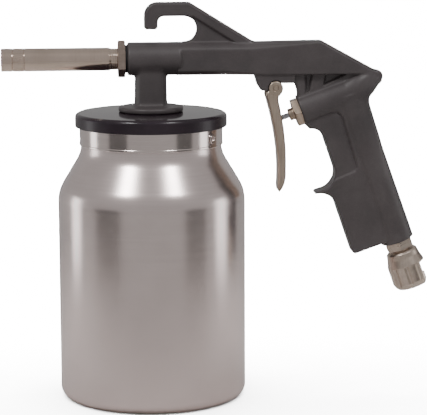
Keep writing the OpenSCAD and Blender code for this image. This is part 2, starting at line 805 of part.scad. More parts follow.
// Socket with a flared skirt and one wide hooked slot towards +X for the hose tail's lug
module coupler() {
    color("#8c7668") along_w(0) difference() {
        rotate_extrude() polygon(concat(
            [[neck_thread_r, coupler_top], [coupler_top_d / 2 - 0.8, coupler_top],
             [coupler_top_d / 2, coupler_top - 0.8], [coupler_r, coupler_top - flare_h],
             [coupler_r, coupler_end + 3.2]],
            arc([coupler_r - 2.4, coupler_end + 2.4], 2.4, 0, -60, 5),
            [[socket_r, coupler_end], [socket_r, seal_foot], [seal_ring_r, seal_foot],
             [seal_ring_r, socket_top], [neck_thread_r, socket_top]]));
        translate([0, 0, coupler_end - skin]) linear_extrude(slot_h + skin)
            polygon([[0, 0], 2 * coupler_r * [cos(slot_angle / 2), -sin(slot_angle / 2)],
                     [4 * coupler_r, 0], 2 * coupler_r * [cos(slot_angle / 2), sin(slot_angle / 2)]]);
        hook_angle = slot_angle / 2 + hook_turn;
        translate([0, 0, coupler_end + slot_h - 5]) linear_extrude(5)
            polygon([[0, 0], 2 * coupler_r * [cos(hook_angle), -sin(hook_angle)], [3 * coupler_r, 0]]);
    }
}

module coupler_seal() {
    color("#1d1d1f") along_w(seal_foot) ring(seal_ring_r, 4, seal_ring_t);
}

cup();
neck_ring();
neck_rivets();
lid();
lid_gasket();
lid_washer();
lid_nut();
gun_body();
pickup_tube();
air_jet();
nozzle_tube();
nozzle_cap();
nozzle_insert();
lock_nut();
lock_washer();
trigger();
trigger_pin();
valve_gland();
packing_nut();
packing_ring();
valve_pin();
valve_poppet();
valve_seal();
valve_seat();
valve_spring();
inlet_nipple();
coupler();
coupler_seal();
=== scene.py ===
import json
import math

import bpy
import numpy as np
from mathutils import Matrix, Vector


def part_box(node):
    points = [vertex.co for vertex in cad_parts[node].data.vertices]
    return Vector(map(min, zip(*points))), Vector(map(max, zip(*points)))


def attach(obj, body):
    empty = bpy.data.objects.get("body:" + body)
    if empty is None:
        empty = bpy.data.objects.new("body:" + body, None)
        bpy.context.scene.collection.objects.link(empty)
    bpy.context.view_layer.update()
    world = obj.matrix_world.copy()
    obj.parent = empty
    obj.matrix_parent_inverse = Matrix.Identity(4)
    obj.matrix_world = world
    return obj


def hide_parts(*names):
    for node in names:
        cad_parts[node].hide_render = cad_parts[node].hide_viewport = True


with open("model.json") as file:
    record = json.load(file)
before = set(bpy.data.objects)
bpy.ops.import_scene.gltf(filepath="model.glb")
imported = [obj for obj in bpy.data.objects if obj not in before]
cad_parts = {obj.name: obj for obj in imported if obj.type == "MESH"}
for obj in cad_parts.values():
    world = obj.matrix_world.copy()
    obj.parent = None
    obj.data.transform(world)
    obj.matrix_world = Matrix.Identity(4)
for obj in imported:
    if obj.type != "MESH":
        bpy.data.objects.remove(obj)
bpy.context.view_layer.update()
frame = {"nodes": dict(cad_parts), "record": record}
record = frame["record"]
print("frame loaded:", len(frame["nodes"]), "nodes")


# places, in millimetres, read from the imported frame
def boxMm(node):
    low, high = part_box(node)
    return np.array(low) * 1000, np.array(high) * 1000


cupHigh = boxMm("cup")[1]
lidLow, lidHigh = boxMm("lid")
tubeLow, tubeHigh = boxMm("nozzle_tube")
bodyLow, bodyHigh = boxMm("gun_body")
axisZ = (tubeLow[2] + tubeHigh[2]) / 2
lidTop = lidHigh[2]

# the grip's own frame comes from the hose socket: u runs back along the valve, w up the column
hose = [m for m in record["mounts"] if m["name"] == "hose_socket"][0]
tilt = math.asin(hose["axis"][0])
alongU = np.array([math.cos(tilt), 0, math.sin(tilt)])
alongW = np.array([-math.sin(tilt), 0, math.cos(tilt)])
columnU = 26.4
gripOrigin = np.array(hose["pos_m"]) * 1000 - columnU * alongU + 111.5 * alongW
pinLow, pinHigh = boxMm("trigger_pin")
pivot = (pinLow + pinHigh) / 2


# each of these turns a local shape into the frame: its turn and its origin
def placeUpright(origin=(0, 0, 0)):
    return np.eye(3), np.array(origin, float)


def placeAlongX(x=0.0):
    return np.array([[0, 0, 1], [0, 1, 0], [-1, 0, 0]], float), np.array([x, 0, axisZ])


def placeAlongU(u=0.0):
    turn = np.column_stack([-alongW, [0, 1, 0], alongU])
    return turn, gripOrigin + u * alongU


def placeAlongW(w=0.0):
    turn = np.column_stack([alongU, [0, 1, 0], alongW])
    return turn, gripOrigin + columnU * alongU + w * alongW


# a mesh object from points in millimetres, at the origin, unturned and unscaled
def meshPiece(name, points, faces, material, normals=None, place=None):
    if place is not None:
        turn, origin = place
        points = points @ turn.T + origin
        normals = None if normals is None else normals @ turn.T
    mesh = bpy.data.meshes.new(name)
    mesh.from_pydata((points * 0.001).tolist(), [], faces)
    mesh.polygons.foreach_set("use_smooth", [True] * len(mesh.polygons))
    mesh.update()
    if normals is not None:
        size = np.linalg.norm(normals, axis=1, keepdims=True)
        mesh.normals_split_custom_set_from_vertices((normals / np.maximum(size, 1e-9)).tolist())
    piece = bpy.data.objects.new(name, mesh)
    bpy.context.scene.collection.objects.link(piece)
    piece.data.materials.append(material)
    return piece


# outline corners are (r, z) or (r, z, radius); every corner off the axis gets a small radius
def roundedProfile(corners, least=0.08, perTurn=40):
    corner = [(c[0], c[1], c[2] if len(c) > 2 else least) for c in corners]
    area = sum(a[0] * b[1] - b[0] * a[1] for a, b in zip(corner, corner[1:] + corner[:1]))
    if area < 0:
        corner.reverse()
    points, normals = [], []
    for i, (r, z, radius) in enumerate(corner):
        before = np.array(corner[i - 1][:2]) - (r, z)
        after = np.array(corner[(i + 1) % len(corner)][:2]) - (r, z)
        lengthBefore, lengthAfter = np.linalg.norm(before), np.linalg.norm(after)
        before, after = before / lengthBefore, after / lengthAfter
        normalIn, normalOut = (-before[1], before[0]), (after[1], -after[0])
        if r < 1e-6:
            points.append((0.0, z))
            normals.append(normalOut if corner[(i + 1) % len(corner)][0] > 1e-6 else normalIn)
            continue
        turning = math.pi - math.acos(max(-1, min(1, float(before @ after))))
        if turning < 1e-3:
            points.append((r, z))
            normals.append(normalOut)
            continue
        reach = min(radius * math.tan(turning / 2), 0.49 * lengthBefore, 0.49 * lengthAfter)
        radius = reach / math.tan(turning / 2)
        start = np.array((r, z)) + before * reach
        left = -before[0] * after[1] + before[1] * after[0] > 0
        sign = 1 if left else -1
        centre = start - sign * radius * np.array(normalIn)
        a0 = math.atan2(sign * normalIn[1], sign * normalIn[0])
        steps = max(2, math.ceil(turning / (2 * math.pi / perTurn)))
        for k in range(steps + 1):
            a = a0 + sign * turning * k / steps
            direction = np.array((math.cos(a), math.sin(a)))
            points.append(tuple(centre + radius * direction))
            normals.append(tuple(sign * direction))
    return points, normals


def lathe(name, corners, material, place, segments=128, least=0.08, perTurn=40):
    profile, profileNormals = roundedProfile(corners, least, perTurn)
    angle = np.linspace(0, 2 * math.pi, segments, endpoint=False)
    points, normals, rows = [], [], []
    for (r, z), (nr, nz) in zip(profile, profileNormals):
        if r < 1e-6:
            rows.append([len(points)])
            points.append((0, 0, z))
            normals.append((0, 0, 1 if nz > 0 else -1))
            continue
        rows.append(list(range(len(points), len(points) + segments)))
        for a in angle:
            points.append((r * math.cos(a), r * math.sin(a), z))
            normals.append((nr * math.cos(a), nr * math.sin(a), nz))
    faces = []
    for i, row in enumerate(rows):
        following = rows[(i + 1) % len(rows)]
        if len(row) == 1 and len(following) == 1:
            continue
        for k in range(segments):
            n = (k + 1) % segments
            if len(row) == 1:
                faces.append((row[0], following[n], following[k]))
            elif len(following) == 1:
                faces.append((row[k], row[n], following[0]))
            else:
                faces.append((row[k], row[n], following[n], following[k]))
    return meshPiece(name, np.array(points), faces, material, np.array(normals), place)


# signed distance fields for cast and milled shapes: negative inside, in millimetres
def outlineField(outline, x, z):
    nearest, inside = None, False
    for (ax, az), (bx, bz) in zip(outline, outline[1:] + outline[:1]):
        ex, ez = bx - ax, bz - az
        wx, wz = x - ax, z - az
        along = np.clip((wx * ex + wz * ez) / (ex * ex + ez * ez), 0, 1)
        gap = (wx - ex * along) ** 2 + (wz - ez * along) ** 2
        nearest = gap if nearest is None else np.minimum(nearest, gap)
        if az != bz:
            inside = inside ^ (((az > z) != (bz > z)) & (x < ex * wz / ez + ax))
    return np.where(inside, -1.0, 1.0) * np.sqrt(nearest)


def radial(a, b):
    return np.sqrt(a * a + b * b)


def roundCorner(a, b, radius):
    return np.minimum(np.maximum(a, b), 0) + radial(np.maximum(a, 0), np.maximum(b, 0)) - radius


def slabField(flat, across, half, edge):
    return roundCorner(flat + edge, np.abs(across) - half + edge, edge)


def rodField(r, along, start, end, radius, edge=0.3):
    return slabField(r - radius, along - (start + end) / 2, (end - start) / 2, edge)


def joined(a, b, blend=0.02):
    h = np.clip(0.5 + 0.5 * (b - a) / blend, 0, 1)
    return b + (a - b) * h - blend * h * (1 - h)


def cutAway(a, b, blend=0.02):
    return -joined(-a, b, blend)


def common(a, b, blend=0.02):
    return -joined(-a, -b, blend)


def softStep(value):
    t = np.clip(value, 0, 1)
    return t * t * (3 - 2 * t)


def arcPoints(centre, radius, start, end, steps=10):
    turns = np.radians(np.linspace(start, end, steps + 1))
    return [(centre[0] + radius * math.cos(a), centre[1] + radius * math.sin(a)) for a in turns]


def bendPoints(a, b, c, steps=8):
    t = np.linspace(0, 1, steps + 1)[:, None]
    points = (1 - t) ** 2 * np.array(a) + 2 * t * (1 - t) * np.array(b) + t ** 2 * np.array(c)
    return [tuple(p) for p in points]


def hexField(x, y, flats, turn=0.0):
    field = None
    for k in range(3):
        a = math.radians(turn + 30 + 60 * k)
        side = np.abs(x * math.cos(a) + y * math.sin(a)) - flats / 2
        field = side if field is None else np.maximum(field, side)
    return field


# surface net over a regular grid, then each point is pulled onto the surface and takes its true normal
def fieldPiece(name, field, low, high, step, material, place=None):
    low = np.array(low, float) - 1.5 * step
    count = np.ceil((np.array(high) + 1.5 * step - low) / step).astype(int) + 1
    grid = [low[i] + step * np.arange(count[i]) for i in range(3)]
    values = field(grid[0][:, None, None], grid[1][None, :, None], grid[2][None, None, :])
    values = np.broadcast_to(values, tuple(count)).astype(np.float32)
    inside = values < 0
    total = sum(inside[i:i - 1 or None, j:j - 1 or None, k:k - 1 or None].astype(np.int8)
                for i in (0, 1) for j in (0, 1) for k in (0, 1))
    active = (total > 0) & (total < 8)
    cells = np.argwhere(active)
    number = -np.ones(active.shape, np.int64)
    number[active] = np.arange(len(cells))
    corner = {(i, j, k): values[cells[:, 0] + i, cells[:, 1] + j, cells[:, 2] + k]
              for i in (0, 1) for j in (0, 1) for k in (0, 1)}
    offset, hits = np.zeros((len(cells), 3)), np.zeros(len(cells))
    for axis in range(3):
        for p in (0, 1):
            for q in (0, 1):
                a = [p, q]
                a.insert(axis, 0)
                b = list(a)
                b[axis] = 1
                f0, f1 = corner[tuple(a)], corner[tuple(b)]
                crossed = (f0 < 0) != (f1 < 0)
                t = np.where(crossed, f0 / np.where(f0 == f1, 1, f0 - f1), 0)
                spot = np.tile(np.array(a, float), (len(cells), 1))
                spot[:, axis] = t
                offset += spot * crossed[:, None]
                hits += crossed
    points = low + step * (cells + offset / hits[:, None])
    faces = []
    for axis in range(3):
        other = [i for i in range(3) if i != axis]
        lower = [slice(1, -1)] * 3
        upper = [slice(1, -1)] * 3
        lower[axis], upper[axis] = slice(0, -1), slice(1, None)
        first, second = inside[tuple(lower)], inside[tuple(upper)]
        spots = np.argwhere(first != second)
        outward = first[tuple(spots.T)]
        for i in other:
            spots[:, i] += 1
        around = []
        for p, q in ((1, 1), (0, 1), (0, 0), (1, 0)):
            cell = spots.copy()
            cell[:, other[0]] -= p
            cell[:, other[1]] -= q
            around.append(number[tuple(cell.T)])
        quads = np.stack(around, axis=1)
        flip = ~outward if axis != 1 else outward
        quads[flip] = quads[flip][:, ::-1]
        faces.append(quads)
    faces = np.concatenate(faces)

    def at(p):
        return field(p[:, 0], p[:, 1], p[:, 2])

    def slope(p, reach):
        parts = []
        for axis in range(3):
            shift = np.zeros(3)
            shift[axis] = reach
            parts.append((at(p + shift) - at(p - shift)) / (2 * reach))
        return np.stack(parts, axis=1)

    home = points.copy()
    for turn in range(3):
        gradient = slope(points, 0.05)
        steepness = np.maximum((gradient ** 2).sum(1), 0.05)
        points = points - gradient * (at(points) / steepness)[:, None]
        points = home + np.clip(points - home, -0.55 * step, 0.55 * step)
    normals = slope(points, 0.04)
    print("   ", name, len(faces) * 2, "triangles")
    return meshPiece(name, points, faces.tolist(), material, normals, place)


# a Geometry Nodes tree with its named inputs
def newTree(name, inputs):
    tree = bpy.data.node_groups.new(name, "GeometryNodeTree")
    tree.interface.new_socket("Geometry", in_out="INPUT", socket_type="NodeSocketGeometry")
    for label, kind in inputs:
        tree.interface.new_socket(label, in_out="INPUT", socket_type="NodeSocket" + kind)
    tree.interface.new_socket("Geometry", in_out="OUTPUT", socket_type="NodeSocketGeometry")
    return tree


def addNode(tree, kind, settings=None, links=None):
    node = tree.nodes.new(kind)
    for label, value in (settings or {}).items():
        setattr(node, label, value)
    for key, value in (links or {}).items():
        if isinstance(value, bpy.types.NodeSocket):
            tree.links.new(value, node.inputs[key])
        else:
            node.inputs[key].default_value = value
    return node


def maths(tree, operation, *values):
    return addNode(tree, "ShaderNodeMath", {"operation": operation}, dict(enumerate(values))).outputs[0]


# joins what a tree has made to the piece's own mesh, all in the finish given
def joinOwnMesh(tree, given, made):
    both = addNode(tree, "GeometryNodeJoinGeometry")
    tree.links.new(given["Geometry"], both.inputs[0])
    tree.links.new(made, both.inputs[0])
    solid = addNode(tree, "GeometryNodeRealizeInstances", None, {"Geometry": both.outputs[0]})
    finished = addNode(tree, "GeometryNodeSetMaterial", None,
                       {"Geometry": solid.outputs[0], "Material": given["Finish"]})
    addNode(tree, "NodeGroupOutput", None, {0: finished.outputs[0]})
    return tree


def bakeTree(piece, tree, values):
    modifier = piece.modifiers.new(tree.name, "NODES")
    modifier.node_group = tree
    for item in tree.interface.items_tree:
        if item.in_out == "INPUT" and item.name in values:
            modifier[item.identifier] = values[item.name]
    bpy.context.view_layer.update()
    graph = bpy.context.evaluated_depsgraph_get()
    baked = bpy.data.meshes.new_from_object(piece.evaluated_get(graph))
    piece.modifiers.remove(modifier)
    old = piece.data
    piece.data = baked
    baked.name = piece.name
    bpy.data.meshes.remove(old)
    return piece


# copies of one item turned about an axis line, joined to the piece's own mesh
def copiesTree():
    tree = newTree("copiesRoundAxis", [("Item", "Object"), ("Count", "Int"), ("Start Turn", "Float"),
                                       ("Axis", "Vector"), ("Centre", "Vector"), ("Finish", "Material")])
    given = addNode(tree, "NodeGroupInput").outputs
    item = addNode(tree, "GeometryNodeObjectInfo", {"transform_space": "ORIGINAL"},
                   {"Object": given["Item"]})
    line = addNode(tree, "GeometryNodeMeshLine", {"mode": "OFFSET"},
                   {"Count": given["Count"], "Offset": (0, 0, 0)})
    placed = addNode(tree, "GeometryNodeInstanceOnPoints", None,
                     {"Points": line.outputs[0], "Instance": item.outputs["Geometry"]})
    index = addNode(tree, "GeometryNodeInputIndex")
    share = maths(tree, "DIVIDE", index.outputs[0], given["Count"])
    angle = maths(tree, "MULTIPLY_ADD", share, 2 * math.pi, given["Start Turn"])
    turn = addNode(tree, "ShaderNodeVectorMath", {"operation": "SCALE"},
                   {0: given["Axis"], "Scale": angle})
    turned = addNode(tree, "GeometryNodeRotateInstances", None,
                     {"Instances": placed.outputs[0], "Rotation": turn.outputs[0],
                      "Pivot Point": given["Centre"], "Local Space": False})
    solid = addNode(tree, "GeometryNodeRealizeInstances", None, {"Geometry": turned.outputs[0]})
    return joinOwnMesh(tree, given, solid.outputs[0])


# a screw thread along X, joined to the piece's own mesh
def threadTree():
    tree = newTree("screwThread", [("Start", "Vector"), ("Radius", "Float"), ("Length", "Float"),
                                   ("Pitch", "Float"), ("Depth", "Float"), ("Finish", "Material")])
    given = addNode(tree, "NodeGroupInput").outputs
    turns = maths(tree, "DIVIDE", given["Length"], given["Pitch"])
    spiral = addNode(tree, "GeometryNodeCurveSpiral", None,
                     {"Resolution": 72, "Rotations": turns, "Start Radius": given["Radius"],
                      "End Radius": given["Radius"], "Height": given["Length"]})
    laid = addNode(tree, "GeometryNodeTransform", None,
                   {"Geometry": spiral.outputs[0], "Translation": given["Start"],
                    "Rotation": (0, math.pi / 2, 0)})
    ridge = addNode(tree, "GeometryNodeCurvePrimitiveCircle", {"mode": "RADIUS"},
                    {"Resolution": 6, "Radius": given["Depth"]})
    swept = addNode(tree, "GeometryNodeCurveToMesh", None,
                    {"Curve": laid.outputs[0], "Profile Curve": ridge.outputs[0], "Fill Caps": True})
    return joinOwnMesh(tree, given, swept.outputs[0])


# an sRGB hex code as the linear colour that shaders take
def hexColour(code):
    parts = [int(code[i:i + 2], 16) / 255 for i in (1, 3, 5)]
    linear = [p / 12.92 if p <= 0.04045 else ((p + 0.055) / 1.055) ** 2.4 for p in parts]
    return (*linear, 1.0)


# Object coordinates stretched by a scale per metre on each axis, optionally turned about Y first
def stretched(tree, scale, turnY=0.0):
    coordinates = addNode(tree, "ShaderNodeTexCoord")
    turned = addNode(tree, "ShaderNodeVectorRotate", {"rotation_type": "Y_AXIS"},
                     {"Vector": coordinates.outputs["Object"], "Angle": turnY})
    return addNode(tree, "ShaderNodeVectorMath", {"operation": "MULTIPLY"},
                   {0: turned.outputs[0], 1: scale}).outputs[0]


def noiseValue(tree, vector, scale=1.0, detail=3.0, roughness=0.55):
    return addNode(tree, "ShaderNodeTexNoise", {"noise_dimensions": "3D"},
                   {"Vector": vector, "Scale": scale, "Detail": detail,
                    "Roughness": roughness}).outputs["Fac"]


# noise of one grain size on every axis
def evenNoise(tree, scale, detail):
    return noiseValue(tree, stretched(tree, (scale, scale, scale)), 1.0, detail)


def spread(tree, value, low, high, fromLow=0.3, fromHigh=0.7):
    return addNode(tree, "ShaderNodeMapRange", None,
                   {"Value": value, "From Min": fromLow, "From Max": fromHigh,
                    "To Min": low, "To Max": high}).outputs["Result"]


def mixColour(tree, share, a, b):
    node = addNode(tree, "ShaderNodeMix", {"data_type": "RGBA"}, {"Factor": share})
    for socket in node.inputs:
        if socket.name == "A" and socket.type == "RGBA":
            socket.default_value = hexColour(a)
        if socket.name == "B" and socket.type == "RGBA":
            socket.default_value = hexColour(b)
    return [s for s in node.outputs if s.type == "RGBA"][0]


def newMaterial(name):
    material = bpy.data.materials.new(name)
    material.use_nodes = True
    tree = material.node_tree
    tree.nodes.clear()
    surface = addNode(tree, "ShaderNodeBsdfPrincipled")
    addNode(tree, "ShaderNodeOutputMaterial", None, {"Surface": surface.outputs[0]})
    return material, tree, surface


def link(tree, surface, **values):
    for label, value in values.items():
        key = {"base": "Base Color", "rough": "Roughness", "metal": "Metallic", "normal": "Normal",
               "coat": "Coat Weight", "coatRough": "Coat Roughness", "ior": "IOR",
               "sheen": "Sheen Weight"}[label]
        if isinstance(value, bpy.types.NodeSocket):
            tree.links.new(value, surface.inputs[key])
        else:
            surface.inputs[key].default_value = value


def bumpFrom(tree, height, strength, distance):
    return addNode(tree, "ShaderNodeBump", None,
                   {"Height": height, "Strength": strength, "Distance": distance}).outputs[0]


# brushed or turned metal: fine lines square to one axis, faint blotches, worn roughness
def linedMetal(name, light, dark, rough, roughSpread, lines, bump, turnY=0.0, lineShare=0.5, detail=2.0):
    material, tree, surface = newMaterial(name)
    fine = noiseValue(tree, stretched(tree, lines, turnY), 1.0, detail)
    blotch = evenNoise(tree, 60, 3.0)
    both = addNode(tree, "ShaderNodeMix", {"data_type": "FLOAT"}, {"Factor": lineShare})
    floats = [s for s in both.inputs if s.type == "VALUE"]
    tree.links.new(blotch, floats[1])
    tree.links.new(fine, floats[2])
    mixed = [s for s in both.outputs if s.type == "VALUE"][0]
    link(tree, surface, metal=1.0, base=mixColour(tree, spread(tree, mixed, 0, 1), dark, light),
         rough=spread(tree, mixed, rough - roughSpread, rough + roughSpread),
         normal=bumpFrom(tree, fine, bump, 0.00004))
    return material


# spun aluminium cup, finely brushed round with 0.3 mm lines
cupAluminium = linedMetal("spunAluminiumBrushed", "#f0e2df", "#e6d8d5", 0.24, 0.03, (12, 12, 2600), 0.03,
                          lineShare=0.45)
# rolled aluminium band, semi-bright
ringAluminium = linedMetal("rolledAluminiumSemiBright", "#ebdfdb", "#ddd1cd", 0.16, 0.03,
                           (60, 60, 2200), 0.06)
# drawn aluminium suction tube
tubeAluminium = linedMetal("drawnAluminium", "#c4c3c2", "#a9a8a7", 0.34, 0.05, (1500, 1500, 40), 0.08)
# satin nickel plate with turning lines square to the nozzle
nickelTurned = linedMetal("satinNickelTurned", "#e2d0c2", "#cebcae", 0.19, 0.02, (5200, 30, 30), 0.006,
                          lineShare=0.2)
# the same plate, duller and more worn on the locknut
nickelNut = linedMetal("satinNickelWorn", "#c0afa3", "#a3948a", 0.32, 0.06, (300, 900, 900), 0.10)
# satin nickel plate on the pressed trigger, linished lengthwise
nickelTrigger = linedMetal("satinNickelLinished", "#d3c3b3", "#b9a999", 0.34, 0.06, (1500, 1500, 80), 0.10)
# nickel-plated brass casting, tumbled
nickelCoupler = linedMetal("nickelledBrassTumbled", "#d8c9bc", "#bdaea1", 0.31, 0.07,
                           (900, 900, 500), 0.14)
# satin nickel on the gland and inlet, turned along the grip's own axes
nickelGland = linedMetal("satinNickelGland", "#c9b8a8", "#a99788", 0.30, 0.05, (1800, 60, 60), 0.07, tilt)
nickelInlet = linedMetal("satinNickelInlet", "#d6c9bc", "#bfb0a3", 0.30, 0.06, (60, 60, 1800), 0.08, tilt)
# turned brass
turnedBrass = linedMetal("turnedBrass", "#c9a466", "#a88448", 0.30, 0.06, (1800, 200, 200), 0.08)
# ground and hardened steel
hardSteel = linedMetal("groundSteel", "#b9b9bd", "#98989d", 0.22, 0.05, (900, 900, 900), 0.05)


# die-cast aluminium under a dark grey textured powder coat
def powderCoat():
    material, tree, surface = newMaterial("powderCoatDarkGrey")
    grain = evenNoise(tree, 1500, 2.0)
    peel = evenNoise(tree, 420, 2.0)
    cloud = evenNoise(tree, 45, 4.0)
    speck = maths(tree, "MULTIPLY_ADD", grain, 0.35, cloud)
    height = maths(tree, "MULTIPLY_ADD", peel, 1.2, grain)
    link(tree, surface, base=mixColour(tree, spread(tree, speck, 0, 1, 0.45, 0.9), "#464142", "#585253"),
         rough=spread(tree, grain, 0.36, 0.50), ior=1.5,
         normal=bumpFrom(tree, height, 0.22, 0.00005))
    return material


# black gloss lacquer on the lid, with faint orange peel and dust
def blackLacquer():
    material, tree, surface = newMaterial("blackGlossLacquer")
    peel = evenNoise(tree, 260, 2.0)
    dust = evenNoise(tree, 90, 5.0)
    height = addNode(tree, "ShaderNodeSeparateXYZ", None, {0: stretched(tree, (1, 1, 1))}).outputs["Z"]
    plate = spread(tree, height, 0, 1, lidTop * 0.001 - 0.0022, lidTop * 0.001 - 0.0006)
    wear = maths(tree, "MULTIPLY_ADD", dust, 0.08, spread(tree, plate, 0.30, 0.05, 0, 1))
    link(tree, surface, base=mixColour(tree, spread(tree, dust, 0, 1), "#221920", "#2e232c"),
         rough=wear, ior=1.46, coat=spread(tree, plate, 0.05, 0.15, 0, 1), coatRough=0.04,
         normal=bumpFrom(tree, peel, 0.10, 0.00005))
    return material


# soft matte materials of the seals, washer and packing: fine grain and slow tone change
def softMatte(name, light, dark, rough, grainScale, bump, ior):
    material, tree, surface = newMaterial(name)
    grain = evenNoise(tree, grainScale, 4.0)
    cloud = evenNoise(tree, 70, 3.0)
    tone = maths(tree, "MULTIPLY_ADD", grain, 0.5, cloud)
    link(tree, surface, base=mixColour(tree, spread(tree, tone, 0, 1, 0.5, 1.0), dark, light),
         rough=spread(tree, grain, rough - 0.06, rough + 0.06), ior=ior,
         normal=bumpFrom(tree, grain, bump, 0.00005))
    return material


bodyGrey = powderCoat()
lidBlack = blackLacquer()
# matte nitrile rubber
blackRubber = softMatte("nitrileRubber", "#242325", "#161517", 0.62, 1400, 0.2, 1.52)
# vulcanised fibre washer
redFibre = softMatte("vulcanisedFibre", "#7c4234", "#5f2f25", 0.58, 900, 0.25, 1.5)
# PTFE packing
whitePtfe = softMatte("ptfeWhite", "#eeeeea", "#dddcd6", 0.40, 1100, 0.08, 1.38)
print("materials made:", len(bpy.data.materials))

finishOfSlot = {
    "cup_aluminium": cupAluminium, "ring_aluminium": ringAluminium, "lid_black": lidBlack,
    "black_rubber": blackRubber, "red_fibre": redFibre, "brass": turnedBrass, "body_grey": bodyGrey,
    "tube_aluminium": tubeAluminium, "nickel_satin": nickelTurned, "nickel_nut": nickelNut,
    "nickel_trigger": nickelTrigger, "nickel_coupler": nickelCoupler, "hard_steel": hardSteel,
    "white_ptfe": whitePtfe}

# every CAD node takes its slot's finish; the ones seen from outside are replaced further down
slotOfNode = {part["node"]: part["material_slot"] for part in record["subparts"]}
for node, thing in frame["nodes"].items():
    thing.data.materials.clear()
    thing.data.materials.append(finishOfSlot[slotOfNode[node]])


def register(piece, body, *nodes):
    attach(piece, body)
    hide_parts(*nodes)


# cup, ring, rivets and lid
cup = {"radius": cupHigh[0], "height": cupHigh[2], "wall": 1.2, "corner": 5.0, "neck": 37.35,
       "coneFoot": 111.46, "coneHead": 132.4, "blend": 20.0, "neckBlend": 18.0}
outerCorners = [(0, 0), (cup["radius"], 0, cup["corner"]), (cup["radius"], cup["coneFoot"], cup["blend"]),
                (cup["neck"], cup["coneHead"], cup["neckBlend"]), (cup["neck"], cup["height"], 0.3)]
innerCorners = [(cup["neck"] - cup["wall"], cup["height"], 0.3),
                (cup["neck"] - cup["wall"], cup["coneHead"] - 0.4, cup["neckBlend"] + 1),
                (cup["radius"] - cup["wall"], cup["coneFoot"] - 0.4, cup["blend"] - 1),
                (cup["radius"] - cup["wall"], cup["wall"], cup["corner"] - 1), (0, cup["wall"])]
cupShell = lathe("cupShell", outerCorners + innerCorners, cupAluminium, placeUpright(), 192, 0.1, 72)
register(cupShell, "cup", "cup")

ringLow, ringHigh = boxMm("neck_ring")
band = {"outer": ringHigh[0], "foot": ringLow[2], "head": ringHigh[2], "beadHeight": 1.1, "step": 0.16}
neckBand = lathe("neckBand", [
    (cup["neck"] + 0.03, band["foot"], 0.2), (band["outer"], band["foot"], 0.4),
    (band["outer"], band["foot"] + band["beadHeight"], 0.4),
    (band["outer"] - band["step"], band["foot"] + band["beadHeight"] + 0.3, 0.3),
    (band["outer"] - band["step"], band["head"], 0.3), (cup["neck"] + 0.03, band["head"], 0.2)],
    ringAluminium, placeUpright(), 160)
register(neckBand, "cup", "neck_ring")

rivet = {"count": 2, "turn": math.radians(54 - 90), "z": 141.1, "headRadius": 2.62, "headHeight": 0.62,
         "bore": 1.3, "shank": 1.45}
rivetTurn = np.array([[0, 0, 1], [0, 1, 0], [-1, 0, 0]], float)
rivetItem = lathe("rivetItem", [
    (0, -1.4), (rivet["bore"], -1.4, 0.1), (rivet["bore"], rivet["headHeight"], 0.25),
    (rivet["headRadius"], rivet["headHeight"], 0.45), (rivet["headRadius"], -0.05, 0.05),
    (rivet["shank"], -0.05, 0.05), (rivet["shank"], -2.2, 0.05),
    (rivet["shank"] + 0.75, -2.2, 0.05), (rivet["shank"] + 0.75, -2.7, 0.2), (0, -2.7)],
    ringAluminium, (rivetTurn, np.array([band["outer"], 0, rivet["z"]])), 40)
rivets = meshPiece("neckRivets", np.zeros((0, 3)), [], ringAluminium)
bakeTree(rivets, copiesTree(), {"Item": rivetItem, "Count": rivet["count"], "Start Turn": rivet["turn"],
                                "Axis": (0, 0, 1), "Centre": (0, 0, 0), "Finish": ringAluminium})
bpy.data.objects.remove(rivetItem)
register(rivets, "cup", "neck_rivets")

lid = {"radius": lidHigh[0], "foot": lidLow[2], "top": lidTop, "wall": 2.15, "edge": 2.2,
       "under": lidTop - 2.5, "hole": 8.05}
lidPiece = lathe("lidShell", [
    (lid["hole"], lid["under"], 0.1), (lid["radius"] - lid["wall"], lid["under"], 0.3),
    (lid["radius"] - lid["wall"], lid["foot"], 0.2), (lid["radius"], lid["foot"], 0.6),
    (lid["radius"], lid["top"] - 0.4, lid["edge"]), (18.0, lid["top"], 4.0),
    (lid["hole"], lid["top"], 0.1)],
    lidBlack, placeUpright(), 160)
register(lidPiece, "gun", "lid")
print("cup, ring, rivets and lid done")


# gun body casting, sizes in millimetres
casting = {
    "barrelRadius": 8.8, "barrelFront": boxMm("lock_washer")[1][0], "barrelEnd": 16.3, "sideStart": 14.0,
    "boreRadius": 5.66, "boreEnd": 8.0, "faceEdge": 1.3, "lowerStrip": 13.4,
    "half": 7.2, "edge": 0.55, "noseSlope": math.radians(28.9), "topEnd": 91.3,
    "hookHalf": 4.0, "hookWebHalf": 2.5, "hookEdge": 1.1,
    "stemHalf": 6.6, "flangeRadius": 17.2, "flangeHeight": 3.0,
    "bossHalf": 6.2, "lugHalf": 3.3, "webHalf": 4.5, "pocket": 2.0,
    "housingRadius": 8.7, "hornRoot": 27.0, "hornTip": (44.6, 3.6), "hornRadius": 3.4,
    "columnRadius": 9.0, "columnFoot": -85, "airBore": 4.85, "airBoreTop": -60,
    "valveBore": 5.5, "valveBoreEnd": 30, "panelHalf": 7.0, "recess": 0.9, "groove": 0.7}
barTop, barUnder = axisZ + casting["barrelRadius"], axisZ - casting["barrelRadius"]


